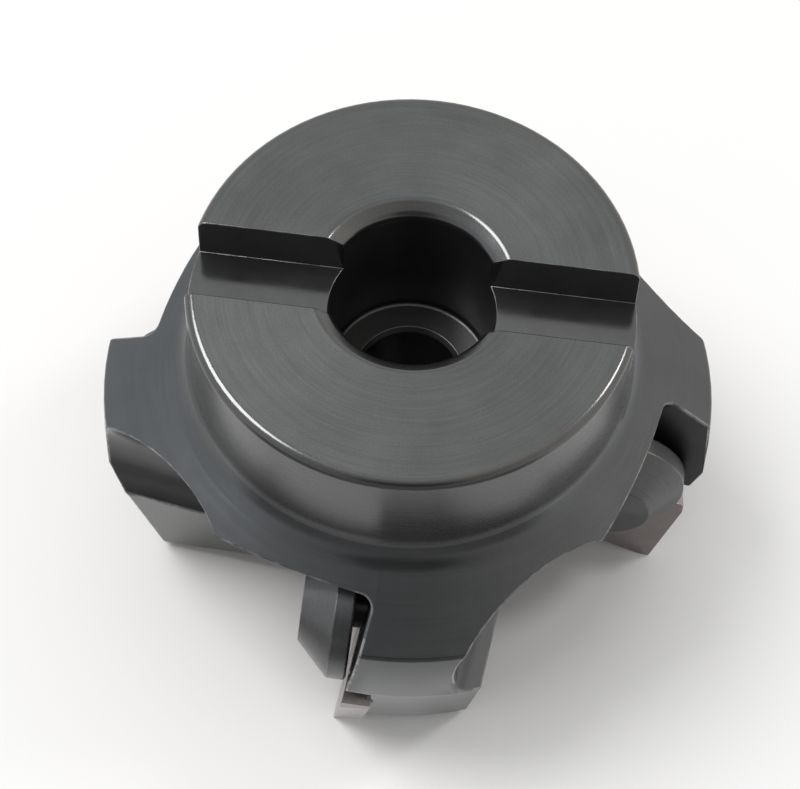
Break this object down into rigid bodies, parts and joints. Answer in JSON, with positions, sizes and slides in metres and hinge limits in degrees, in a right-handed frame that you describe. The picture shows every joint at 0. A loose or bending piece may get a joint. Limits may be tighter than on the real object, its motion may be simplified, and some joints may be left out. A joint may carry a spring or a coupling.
{
  "type": "indexable face mill",
  "caption": "Shell-mounted milling cutter with a drive slot across its hub and square tip inserts held in open pockets by conical clamp screws.",
  "frame": {"origin": "centre of the cutting plane, on the cutter's axis, level with the insert tips that it stands on", "axes": "+Z along the cutter's axis from the cutting plane to the hub face; +X along the drive slot"},
  "size_m": [0.072, 0.072, 0.0504],
  "materials": {
    "blackened_steel": "black oxide over turned and ground steel, semi-gloss",
    "ground_carbide": "ground carbide, satin",
    "dark_turned_steel": "fine-turned hardened steel, satin"
  },
  "bodies": {
    "root": {"cutter_body": "blackened_steel", "insert_1": "ground_carbide", "insert_2": "ground_carbide", "insert_3": "ground_carbide", "insert_4": "ground_carbide", "clamp_screw_1": "dark_turned_steel", "clamp_screw_2": "dark_turned_steel", "clamp_screw_3": "dark_turned_steel", "clamp_screw_4": "dark_turned_steel"}
  },
  "joints": []
}
